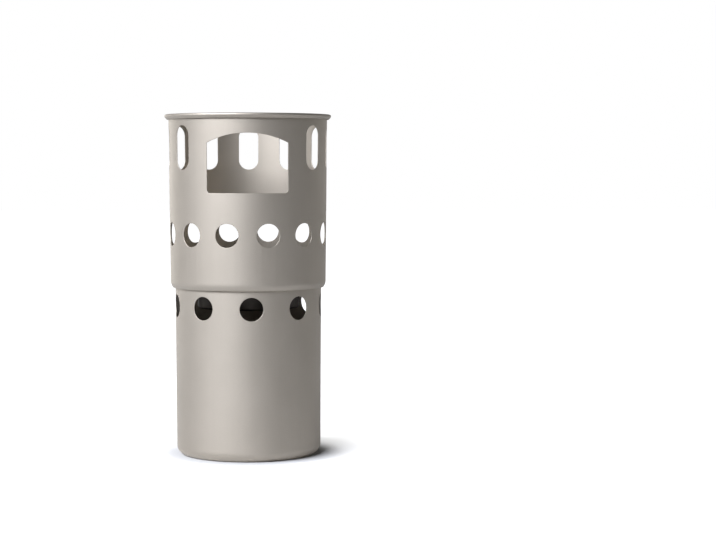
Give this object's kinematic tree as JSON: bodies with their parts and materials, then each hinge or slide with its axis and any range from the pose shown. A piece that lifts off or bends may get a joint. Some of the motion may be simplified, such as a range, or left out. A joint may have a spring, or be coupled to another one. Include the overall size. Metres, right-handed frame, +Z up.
{
  "type": "twig stove",
  "caption": "Stacked sheet-metal twig stove: a perforated base can, a lift-off upper section with arched feed window, smoke slots and curled lip, and a lift-out fire pan.",
  "frame": {"origin": "centre of the base can's underside, on the ground", "axes": "+Z up along the stove's axis, and the feed window faces -Y"},
  "size_m": [0.0998, 0.0998, 0.2037],
  "materials": {
    "base_titanium": "bare bead-blasted titanium, satin",
    "upper_titanium": "bare bead-blasted titanium, satin",
    "pan_titanium": "bead-blasted titanium, darkened by fire, satin"
  },
  "bodies": {
    "base": {"base_can": "base_titanium"},
    "upper": {"upper_section": "upper_titanium"},
    "pan": {"fire_pan": "pan_titanium"}
  },
  "joints": [
    {"name": "upper_lift", "type": "slide", "parent": "base", "child": "upper", "axis": [0, 0, 1], "range_m": [0, 0.08]},
    {"name": "pan_lift", "type": "slide", "parent": "upper", "child": "pan", "axis": [0, 0, 1], "range_m": [0, 0.125]}
  ]
}
